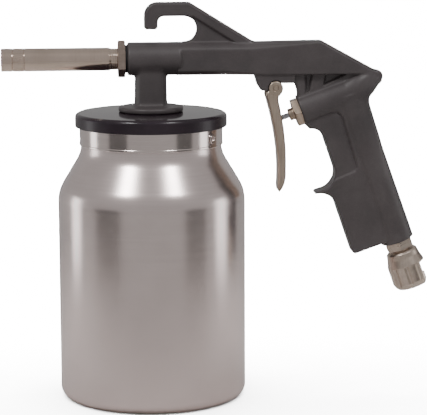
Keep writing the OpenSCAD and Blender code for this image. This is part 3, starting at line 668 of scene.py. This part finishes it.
# top and bottom corners of the bar square up towards its rear
def barField(x, y, z):
    s = casting
    side = np.clip((x - 53) / 42, 0, 1)
    reach = s["barrelRadius"]
    topRound = reach - 6.6 * side ** 1.25
    lowRound = 7.0 - 5.2 * np.clip((x - 40) / 22, 0, 1)
    r = np.where(z > axisZ, topRound, lowRound)
    a, b = np.abs(y) - reach + r, np.abs(z - axisZ) - reach + r
    section = roundCorner(a, b, r)
    nose = (x - s["topEnd"]) * math.sin(s["noseSlope"]) + (z - barTop) * math.cos(s["noseSlope"])
    section = common(section, nose, 0.5)
    half = s["half"] - 0.012 * np.maximum(x - 102, 0) ** 2
    edgeStrip = (np.abs(y) - half) * 0.7071 + nose * 0.7071 + 0.9
    section = common(section, edgeStrip, 0.4)
    sides = common(section, np.abs(y) - half, s["edge"])
    return np.maximum(sides, s["sideStart"] - x)


def hookField(x, y, z):
    s = casting
    x0, inner, root = -3.1, 3.8, 24.5
    under, top, tip = barTop + 13.8, barTop + 20.85, barTop + 6.9
    eye = (17.6, barTop + 6.9)
    outline = ([(x0 + 0.9, tip), (inner - 0.9, tip), (inner, tip + 0.9)]
               + arcPoints((inner + 3.4, under - 3.4), 3.4, 180, 90, 6)
               + arcPoints(eye, 6.9, 90, -90, 14)
               + [(17.6, axisZ), (54.2, axisZ), (54.2, barTop), (21.2, top - 0.3), (20.2, top)]
               + arcPoints((x0 + 7, top - 7), 7, 90, 180, 8) + [(x0, tip + 0.9)])
    flat = outlineField(outline, x, z)
    slope = math.atan2(21.0, 54.2 - 20.6)
    drop = 6.0 / math.cos(slope)
    hollow = outlineField([(root - 2.2, under - 0.6), (22.6, top - drop - 0.6),
                           (58.2, barTop - drop - 2), (17.6, axisZ - 2), (15.6, barTop - 0.4)], x, z)
    thick = cutAway(flat, hollow, 1.0)
    return joined(slabField(flat, y, s["hookWebHalf"], 0.5),
                  slabField(thick, y, s["hookHalf"], s["hookEdge"]), 0.8)


def stemField(x, y, z):
    s = casting
    r = radial(x, y)
    up = z - lidTop
    cone = (r - (8.85 - 0.55 * np.clip(up / 25, 0, 1)))
    cone = common(cone, np.abs(y) - s["stemHalf"], 0.5)
    cone = np.maximum(cone, np.maximum(lidTop - z, z - axisZ + 2))
    flange = rodField(r, z, lidTop, lidTop + s["flangeHeight"], s["flangeRadius"], 1.1)
    spigot = rodField(r, z, lidTop - 12, lidTop + 1, 8.0, 0.3)
    return joined(joined(cone, flange, 2.6), spigot, 0.1)


def bossField(x, y, z):
    s = casting
    px, pz = pivot[0], pivot[2]
    front = [(54.3, barUnder + 3), (56.9, pz + 1.4), (58.6, pz - 1.1), (px - 4, pz - 1.3)]
    strip = axisZ - s["lowerStrip"]
    wide = outlineField(front + [(px + 3, strip), (76.5, strip), (76.5, barUnder + 3)], x, z)
    wide = slabField(wide, y, s["bossHalf"], 0.5)
    head = radial(x - px, z - pz) - 4.2
    cheeks = slabField(head, np.abs(y) - s["bossHalf"] - 1, s["bossHalf"] + 1 - s["lugHalf"], 0.05)
    wide = cutAway(wide, cheeks, 0.2)
    lug = outlineField(front + arcPoints((px, pz), 3.4, -130, 30, 8)
                       + [(px + 3.4, strip), (px + 3.4, barUnder + 3)], x, z)
    return joined(wide, slabField(lug, y, s["lugHalf"], 0.3), 0.2)


def webField(x, y, z):
    s = casting
    strip = axisZ - s["lowerStrip"]
    gx, gz = gripOrigin[0], gripOrigin[2]
    flat = outlineField([(75.5, barUnder + 3), (75.5, strip), (77.1, strip - 1), (78.1, strip - 4),
                         (78.9, strip - 10), (gx + 36, gz + 18), (gx + 36, barUnder + 3)], x, z)
    z1 = barUnder + 0.2
    first = outlineField([(82.3, z1), (85.9, z1), (84.2, z1 - 9.4), (82.6, z1 - 10)], x, z)
    second = outlineField([(93.4, z1), (104.5, z1), (92, z1 - 6.2)], x, z)
    half = s["webHalf"] - s["pocket"] * softStep(0.5 - np.minimum(first, second) / 1.1)
    return slabField(flat, y, half, 0.4)


def gripField(x, y, z):
    s = casting
    dx, dz = x - gripOrigin[0], z - gripOrigin[2]
    u, w = dx * alongU[0] + dz * alongU[2], dx * alongW[0] + dz * alongW[2]
    rHouse = radial(y, w)
    house = rodField(rHouse, u, 0, 30, s["housingRadius"], 0.6)
    hornU, hornW = s["hornTip"][0] - s["hornRoot"], s["hornTip"][1]
    share = np.clip(((u - s["hornRoot"]) * hornU + w * hornW) / (hornU ** 2 + hornW ** 2), 0, 1)
    square = 2 + 2.2 * share ** 1.7
    away = radial(u - s["hornRoot"] - share * hornU, w - share * hornW)
    horn = ((away ** square + np.abs(y) ** square) ** (1 / square)
            - s["housingRadius"] + (s["housingRadius"] - s["hornRadius"]) * share ** 2.2)
    rColumn = radial(y, u - columnU)
    column = rodField(rColumn, w, s["columnFoot"], 0, s["columnRadius"], 0.6)
    outline = ([(0.4, 0), (0.4, -8.7), (0.9, -10.1)] + arcPoints((-0.4, -17.3), 7.2, 78, 0, 8)
               + arcPoints((-3, -34.2), 9.6, 0, -86, 10) + [(-6.9, -43.6), (-7.4, -44.1)]
               + arcPoints((-8.5, -53.8), 9.4, 88, 0, 10)
               + [(0.6, -81.6), (1.8, -82.8), (columnU, -82.8), (columnU, 0)])
    flat = outlineField(outline, u, w)
    hollow = outlineField([(-12, -40.4), (-12, -6)] + arcPoints((15, -10.3), 4.3, 90, 0, 6)
                          + [(18, -38.5), (16.4, -40), (6, -40.5), (-6, -42.6)], u, w)
    grooveEnds = np.clip((u - 3) / 5, 0, 1) * np.clip((w + 39) / 4, 0, 1)
    groove = s["groove"] * np.exp(-(hollow / 0.62) ** 2) * grooveEnds
    half = s["panelHalf"] - s["recess"] * softStep(0.5 - hollow / 1.1) - groove
    panel = slabField(flat, y, half, 0.9)
    tang = outlineField([(columnU, 0), (columnU, -40), (32.6, -40), (34.9, -26)]
                        + arcPoints((45.5, -10.4), 9.8, 180, 92, 10)
                        + [(46.5, 0.1), (46.5, 3.6), (columnU, 3.6)], u, w)
    tang = slabField(tang, y, 6.4 - 3.0 * np.clip((u - 36) / 10, 0, 1), 2.2)
    grip = joined(column, panel, 0.5)
    grip = joined(joined(grip, tang, 2.4), joined(house, horn), 0.9)
    bore = np.maximum(rColumn - s["airBore"], w - s["airBoreTop"])
    chamber = np.maximum(rHouse - s["valveBore"], u - s["valveBoreEnd"])
    return cutAway(cutAway(grip, bore), chamber)


def bodyField(x, y, z):
    s = casting
    rAxis = radial(y, z - axisZ)
    barrel = rodField(rAxis, x, s["barrelFront"], s["barrelEnd"], s["barrelRadius"], s["faceEdge"])
    whole = joined(barrel, barField(x, y, z), 0.25)
    whole = joined(whole, hookField(x, y, z), 1.2)
    whole = joined(whole, stemField(x, y, z), 1.6)
    lower = joined(bossField(x, y, z), webField(x, y, z), 0.8)
    whole = joined(whole, lower, 0.8)
    whole = joined(whole, gripField(x, y, z), 1.0)
    bore = np.maximum(rAxis - s["boreRadius"], x - s["boreEnd"])
    spigotBore = np.maximum(radial(x, y) - 5.0, z - lidTop - 4)
    return cutAway(cutAway(whole, bore), spigotBore)


gunBody = fieldPiece("gunBody", bodyField, bodyLow, bodyHigh, 0.72, bodyGrey)
register(gunBody, "gun", "gun_body")
print("gun body done")


# nozzle, locknut and washer
nozzle = {"radius": 6.1, "bore": 3.5, "front": tubeLow[0], "capEnd": -66.5, "capThread": 5.1,
          "step": -20.9, "collar": 5.58, "collarEnd": boxMm("lock_nut")[0][0] - 0.3,
          "threadCore": 5.35, "inner": tubeHigh[0],
          "threadStart": 0.8, "threadLong": 26.5, "threadRadius": 5.4, "threadDepth": 0.28, "pitch": 1.0}
nozzleTube = lathe("nozzleTube", [
    (nozzle["bore"], nozzle["front"] + 11), (4.2, nozzle["front"] + 11), (4.2, nozzle["front"]),
    (nozzle["capThread"], nozzle["front"], 0.3), (nozzle["capThread"], nozzle["capEnd"], 0.1),
    (nozzle["radius"], nozzle["capEnd"], 0.25), (nozzle["radius"], nozzle["step"] - 1.1, 0.3),
    (nozzle["collar"], nozzle["step"], 0.3), (nozzle["collar"], nozzle["collarEnd"], 0.1),
    (nozzle["threadCore"], nozzle["collarEnd"], 0.1), (nozzle["threadCore"], nozzle["inner"], 0.5),
    (nozzle["bore"], nozzle["inner"], 0.2)], nickelTurned, placeAlongX(), 96)
bakeTree(nozzleTube, threadTree(), {
    "Start": ((nozzle["step"] + nozzle["threadStart"]) * 0.001, 0, axisZ * 0.001),
    "Radius": nozzle["threadRadius"] * 0.001, "Length": nozzle["threadLong"] * 0.001,
    "Pitch": nozzle["pitch"] * 0.001, "Depth": nozzle["threadDepth"] * 0.001, "Finish": nickelTurned})
register(nozzleTube, "gun", "nozzle_tube")

capLow, capHigh = boxMm("nozzle_cap")
cap = {"front": capLow[0], "end": capHigh[0], "radius": 6.1, "join": -72.7, "knurlRadius": 5.98,
       "ridges": 56}
nozzleCap = lathe("nozzleCap", [
    (4.25, cap["front"], 0.2), (cap["radius"], cap["front"], 0.55),
    (cap["radius"], cap["join"] - 0.3, 0.25),
    (cap["knurlRadius"] - 0.25, cap["join"], 0.15), (cap["knurlRadius"], cap["join"] + 0.3, 0.1),
    (cap["knurlRadius"], cap["end"], 0.35), (5.12, cap["end"], 0.1),
    (5.12, cap["front"] + 4, 0.1), (4.25, cap["front"] + 4, 0.1)], nickelTurned, placeAlongX(), 112)


# one ridge of the knurl: a low prism along X on top of the cap
def ridgeItem():
    x0, x1 = cap["join"] + 0.45, cap["end"] - 0.35
    base, top, half = axisZ + cap["knurlRadius"] - 0.08, axisZ + cap["radius"] - 0.01, 0.2
    points = [(x0, -half, base), (x0, half, base), (x0 + 0.15, 0, top),
              (x1, -half, base), (x1, half, base), (x1 - 0.15, 0, top)]
    faces = [(0, 1, 2), (3, 5, 4), (0, 2, 5, 3), (1, 4, 5, 2), (0, 3, 4, 1)]
    ridge = meshPiece("ridgeItem", np.array(points), [f[::-1] for f in faces], nickelTurned)
    for polygon in ridge.data.polygons:
        polygon.use_smooth = False
    return ridge


ridge = ridgeItem()
bakeTree(nozzleCap, bpy.data.node_groups["copiesRoundAxis"], {
    "Item": ridge, "Count": cap["ridges"], "Start Turn": 0.0, "Axis": (1, 0, 0),
    "Centre": (0, 0, axisZ * 0.001), "Finish": nickelTurned})
bpy.data.objects.remove(ridge)
register(nozzleCap, "gun", "nozzle_cap")

nutLow, nutHigh = boxMm("lock_nut")
nut = {"flats": 17.0, "corner": 9.815, "back": nutLow[0], "front": nutHigh[0], "bore": 5.68}


def lockNutField(x, y, z):
    long = nut["front"] - nut["back"]
    r = radial(x, y)
    field = common(hexField(x, y, nut["flats"]), np.abs(z - long / 2) - long / 2, 0.25)
    cone = (r - nut["corner"] + 0.4) * 0.55 + (np.abs(z - long / 2) - long / 2) * 0.835
    return cutAway(common(field, cone, 0.2), r - nut["bore"], 0.2)


lockNut = fieldPiece("lockNut", lockNutField, (-9.9, -9.9, 0), (9.9, 9.9, nut["front"] - nut["back"]), 0.2,
                     nickelNut, placeAlongX(nut["back"]))
register(lockNut, "gun", "lock_nut")

washerLow, washerHigh = boxMm("lock_washer")
washer = lathe("lockWasher", [
    (5.66, washerLow[0]), (washerHigh[1], washerLow[0], 0.2), (washerHigh[1], washerHigh[0], 0.2),
    (5.66, washerHigh[0])], blackRubber, placeAlongX(), 80)
register(washer, "gun", "lock_washer")
print("nozzle done")


# trigger
lever = {"half": 6.5, "edge": 1.3, "head": 3.9, "slotHalf": 3.55, "length": 56.1, "pinBore": 1.55}


def triggerField(x, y, z):
    s = lever
    dx, dz = x - pivot[0], z - pivot[2]
    low = -s["length"]
    outline = ([(-3.85, 0.3), (-3.95, -1.0), (-5.1, -1.9)]
               + bendPoints((-5.3, -3.9), (2.6, -30), (1, low + 2.9), 12)
               + [(1.4, low + 0.7)] + bendPoints((2.1, low + 0.2), (5.4, low + 3.6), (5.6, low + 9.7), 6)
               + bendPoints((5.6, low + 17.7), (5.6, -24), (1.5, -6.8), 10)
               + [(1.5, -4.8), (3.3, -2.4), (0, 0)])
    blade = slabField(outlineField(outline, dx, dz), y, s["half"], s["edge"])
    head = slabField(radial(dx, dz) - s["head"], y, s["half"], 0.8)
    whole = joined(blade, head, 0.5)
    slot = np.maximum(np.abs(y) - s["slotHalf"], -4.5 - dz)
    pinBore = radial(dx, dz) - s["pinBore"]
    return cutAway(cutAway(whole, slot, 0.4), pinBore, 0.1)


triggerLow, triggerHigh = boxMm("trigger")
trigger = fieldPiece("triggerLever", triggerField, triggerLow, triggerHigh, 0.3, nickelTrigger)
register(trigger, "trigger", "trigger")

pinLength = pinHigh[1] - pinLow[1]
crossPin = lathe("crossPin", [(0, -pinLength / 2), (1.5, -pinLength / 2, 0.35), (1.5, pinLength / 2, 0.35),
                              (0, pinLength / 2)], nickelTrigger,
                 (np.array([[1, 0, 0], [0, 0, -1], [0, 1, 0]], float), pivot), 40)
register(crossPin, "gun", "trigger_pin")
print("trigger done")


# valve gland, packing nut and push pin
gland = {"flats": 14.0, "long": 3.7, "thread": 5.5, "threadLong": 6.0, "bore": 1.49, "neck": 2.65,
         "turn": 30.0}


def glandField(x, y, z):
    s = gland
    r = radial(x, y)
    centre = z + s["long"] / 2
    head = common(hexField(x, y, s["flats"], s["turn"]), np.abs(centre) - s["long"] / 2, 0.25)
    cone = (r - 7.45) * 0.5 + (np.abs(centre) - s["long"] / 2) * 0.866
    head = common(head, cone, 0.2)
    screw = rodField(r, z, -1, s["threadLong"], s["thread"], 0.3)
    neck = rodField(r, z, -5.6, -1, s["neck"], 0.2)
    whole = joined(joined(head, screw), neck)
    return cutAway(whole, r - s["bore"])


valveGland = fieldPiece("valveGland", glandField, (-8.1, -8.1, -5.6), (8.1, 8.1, 6.0), 0.22,
                        nickelGland, placeAlongU())
register(valveGland, "gun", "valve_gland")

packingNut = lathe("packingNut", [
    (1.49, -6.6, 0.2), (3.35, -6.6, 0.6), (3.35, -5.4, 0.15), (3.15, -5.25, 0.1), (3.35, -5.1, 0.15),
    (3.35, -3.72, 0.2), (2.66, -3.72), (2.66, -5.6), (1.49, -5.6)], nickelGland, placeAlongU(), 56)
register(packingNut, "gun", "packing_nut")

stem = {"radius": 1.45, "tip": -10.9, "end": 19.75}
pushPin = lathe("pushPin", [(0, stem["tip"]), (stem["radius"], stem["tip"], 1.3),
                            (stem["radius"], stem["end"], 0.2), (0, stem["end"])],
                hardSteel, placeAlongU(), 40)
register(pushPin, "valve", "valve_pin")
print("valve done")


# air inlet and coupler
inlet = {"flats": 14.0, "turn": 26.0, "head": -85.0, "foot": -89.8, "thread": 4.85, "bore": 3.0,
         "neck": 4.6, "neckEnd": -94.5}


def inletField(x, y, z):
    s = inlet
    r = radial(x, y)
    middle, half = (s["head"] + s["foot"]) / 2, (s["head"] - s["foot"]) / 2
    nutPart = common(hexField(x, y, s["flats"], s["turn"]), np.abs(z - middle) - half, 0.3)
    cone = (r - 7.5) * 0.5 + (np.abs(z - middle) - half) * 0.866
    nutPart = common(nutPart, cone, 0.2)
    screw = rodField(r, z, -86, -76, s["thread"], 0.3)
    tail = rodField(r, z, s["neckEnd"], -89, s["neck"], 0.2)
    return cutAway(joined(joined(nutPart, screw), tail), r - s["bore"])


inletNipple = fieldPiece("inletNipple", inletField, (-8.1, -8.1, -94.5), (8.1, 8.1, -76), 0.25,
                         nickelInlet, placeAlongW())
register(inletNipple, "gun", "inlet_nipple")

socket = {"top": -91.0, "end": -111.5, "topRadius": 8.6, "radius": 10.2,
          "bore": 6.5, "stepTop": -97.4, "sealBore": 5.8, "socketTop": -95.0,
          "neck": 4.62, "flareEnd": -98.0, "slotHalfAngle": 40.0, "slotTop": -99.5,
          "hookTurn": 5.0, "hookLong": 5.0,
          "fluteTop": -99.0, "fluteCentre": 10.7, "fluteRadius": 1.25,
          "flutes": [math.radians(a) for a in (62, 99, 138)]}


def couplerField(x, y, z):
    s = socket
    r = radial(x, y)
    outline = [(0, s["top"]), (s["topRadius"] - 0.8, s["top"]), (s["topRadius"], s["top"] - 0.8),
               (s["topRadius"] + 0.35, s["top"] - 3.4), (s["radius"], s["flareEnd"] - 0.6),
               (s["radius"], s["end"] + 3.2), (s["radius"] - 0.9, s["end"] + 1.1),
               (s["radius"] - 1.9, s["end"]), (0, s["end"])]
    shell = outlineField(outline, r, z)
    for turn in s["flutes"]:
        away = np.abs(x * math.sin(turn) - np.abs(y) * math.cos(turn))
        outward = x * math.cos(turn) + np.abs(y) * math.sin(turn)
        flute = radial(away, outward - s["fluteCentre"]) - s["fluteRadius"]
        flute = np.maximum(flute, z - s["fluteTop"])
        shell = cutAway(shell, np.maximum(flute, s["end"] + 2.6 - z), 0.3)
    shell = cutAway(shell, np.maximum(r - s["bore"], z - s["stepTop"]), 0.3)
    shell = cutAway(shell, np.maximum(r - s["sealBore"], z - s["socketTop"]), 0.2)
    shell = cutAway(shell, r - s["neck"], 0.2)
    a = math.radians(s["slotHalfAngle"])
    b = math.radians(s["slotHalfAngle"] + s["hookTurn"])
    gap = np.maximum(np.abs(y) * math.cos(a) - x * math.sin(a), z - s["slotTop"])
    notch = np.abs(y + 1.2) * math.cos(b) - (x - 0.6) * math.sin(b)
    notch = np.maximum(notch, np.maximum(z - s["slotTop"], s["slotTop"] - s["hookLong"] - z))
    gap = np.maximum(joined(gap, notch, 0.4), 1.5 - x)
    return cutAway(shell, gap, 0.5)


coupler = fieldPiece("hoseCoupler", couplerField, (-10.3, -10.3, -111.6), (10.3, 10.3, -90.9), 0.3,
                     nickelCoupler, placeAlongW())
register(coupler, "gun", "coupler")
print("inlet and coupler done")


# floor, light and camera
def stagePaint(name, grainScale, first, second, rough, ior, most=1):
    material, tree, surface = newMaterial(name)
    shade = spread(tree, evenNoise(tree, grainScale, 3.0), 0, most)
    link(tree, surface, base=mixColour(tree, shade, first, second), rough=rough, ior=ior)
    return material


# pale matt floor that turns up into a wall far behind
def paleFloor():
    material = stagePaint("paleStudioPaint", 30, "#f4f4f4", "#f8f8f8", 0.9, 1.4)
    bendStart, bendRadius = 1.6, 0.8
    profile = [(-2.2, 0.0), (bendStart, 0.0)]
    for a in np.radians(range(10, 91, 10)):
        profile.append((bendStart + bendRadius * math.sin(a), bendRadius - bendRadius * math.cos(a)))
    profile.append((bendStart + bendRadius, 3.0))
    points, faces = [], []
    for y, z in profile:
        points += [(-3000, y * 1000, z * 1000 - 0.02), (3000, y * 1000, z * 1000 - 0.02)]
    for i in range(len(profile) - 1):
        faces.append((2 * i, 2 * i + 1, 2 * i + 3, 2 * i + 2))
    floor = meshPiece("studioFloor", np.array(points), faces, material)
    floor.visible_glossy = False
    floor.visible_diffuse = False
    return floor


# round pale grey bench top that the metal mirrors in place of the white floor
def greyBench(radius=420):
    material = stagePaint("greyBenchLaminate", 25, "#efecea", "#f4f1ef", 0.8, 1.45)
    turns = np.linspace(0, 2 * math.pi, 64, endpoint=False)
    rim = [(radius * math.cos(a), radius * math.sin(a), -0.6) for a in turns]
    bench = meshPiece("greyBench", np.array(rim), [tuple(range(64))], material)
    bench.visible_camera = False
    bench.visible_shadow = False
    return bench


# dark cards that only mirror-like surfaces see, standing round the bench
def darkCard(name, startAzimuth, endAzimuth, foot, head, tone, distance=600):
    material = stagePaint(name + "Felt", 200, tone, "#262626", 0.9, 1.4, 0.1)
    points, faces = [], []
    for a in np.radians(np.linspace(startAzimuth, endAzimuth, 7)):
        points += [(distance * math.sin(a), -distance * math.cos(a), foot),
                   (distance * math.sin(a), -distance * math.cos(a), head)]
    for i in range(6):
        faces.append((2 * i, 2 * i + 2, 2 * i + 3, 2 * i + 1))
    card = meshPiece(name, np.array(points), faces, material)
    card.visible_camera = False
    card.visible_diffuse = False
    card.visible_shadow = False


darkCard("cardLeft", -72, -40, -420, 110, "#848484")
darkCard("cardRight", 37, 64, -420, 110, "#7a7a7a")
darkCard("cardFarRight", 106, 119, -420, 420, "#303030")
bench = greyBench()
whiteFloor = paleFloor()
floorOnly = bpy.data.collections.new("floorOnly")
floorOnly.objects.link(whiteFloor)
benchOnly = bpy.data.collections.new("benchOnly")
benchOnly.objects.link(bench)


def softLight(name, location, target, width, height, power, colour="#ffffff"):
    lamp = bpy.data.lights.new(name, "AREA")
    lamp.shape = "RECTANGLE"
    lamp.size, lamp.size_y = width, height
    lamp.energy = power
    lamp.color = hexColour(colour)[:3]
    light = bpy.data.objects.new(name, lamp)
    light.location = location
    light.rotation_euler = (Vector(target) - Vector(location)).to_track_quat("-Z", "Y").to_euler()
    bpy.context.scene.collection.objects.link(light)
    return light


# azimuth is measured round the cup from straight in front, positive to the right
def lampAt(name, azimuth, elevation, distance, width, height, power, colour="#ffffff"):
    a, e = math.radians(azimuth), math.radians(elevation)
    target = Vector((0.0, 0.0, 0.12))
    spot = target + distance * Vector((math.sin(a) * math.cos(e), -math.cos(a) * math.cos(e), math.sin(e)))
    return softLight(name, spot, target, width, height, power, colour)


lampAt("keyLeft", -44, 49, 1.2, 0.25, 0.27, 4.4)
lampAt("keyRight", 35, 50, 1.2, 0.22, 0.26, 3.3)
lampAt("stripLeft", -106, -4, 0.9, 0.24, 0.46, 0.85)
lampAt("stripRight", 89, -4, 0.9, 0.26, 0.46, 0.75)
for washing in (softLight("backWash", (0.0, 0.6, 1.4), (0, 2.4, 0.4), 2.6, 1.0, 700),
                softLight("floorWash", (0.0, 0.3, 1.3), (0, 0.3, 0.0), 2.6, 1.6, 420)):
    washing.light_linking.receiver_collection = floorOnly
benchWash = softLight("benchWash", (0.0, 0.0, 1.5), (0, 0, 0), 1.2, 1.2, 28.0)
benchWash.light_linking.receiver_collection = benchOnly
# two low lamps brighten the bench to the left and right of the cup
for poolX in (-0.25, 0.24):
    pool = softLight("benchPool", (poolX, 0.04, 0.30), (poolX, 0.04, 0), 0.2, 0.2, 0.42)
    pool.light_linking.receiver_collection = benchOnly

world = bpy.data.worlds.new("studioAir")
bpy.context.scene.world = world
world.use_nodes = True
world.node_tree.nodes["Background"].inputs["Color"].default_value = hexColour("#f3f1f0")
world.node_tree.nodes["Background"].inputs["Strength"].default_value = 0.45

# metres, radians and millimetres of focal length on a 36 mm sensor
shot = {"location": (-0.04639, -1.01196, 0.27288), "yaw": 0.0785, "pitch": 0.16785, "roll": -0.00401,
        "lens": 161.25}
forward = Vector((math.sin(shot["yaw"]) * math.cos(shot["pitch"]),
                  math.cos(shot["yaw"]) * math.cos(shot["pitch"]), -math.sin(shot["pitch"])))
right = Vector((math.cos(shot["yaw"]), -math.sin(shot["yaw"]), 0))
up = right.cross(forward)
camX = math.cos(shot["roll"]) * right + math.sin(shot["roll"]) * up
camY = -math.sin(shot["roll"]) * right + math.cos(shot["roll"]) * up
lens = bpy.data.cameras.new("studioCamera")
lens.lens = shot["lens"]
lens.sensor_width = 36
lens.clip_start = 0.05
lens.clip_end = 20
camera = bpy.data.objects.new("studioCamera", lens)
facing = Matrix((camX, camY, -forward)).transposed().to_4x4()
camera.matrix_world = Matrix.Translation(shot["location"]) @ facing
bpy.context.scene.collection.objects.link(camera)
bpy.context.scene.camera = camera
print("stage done")
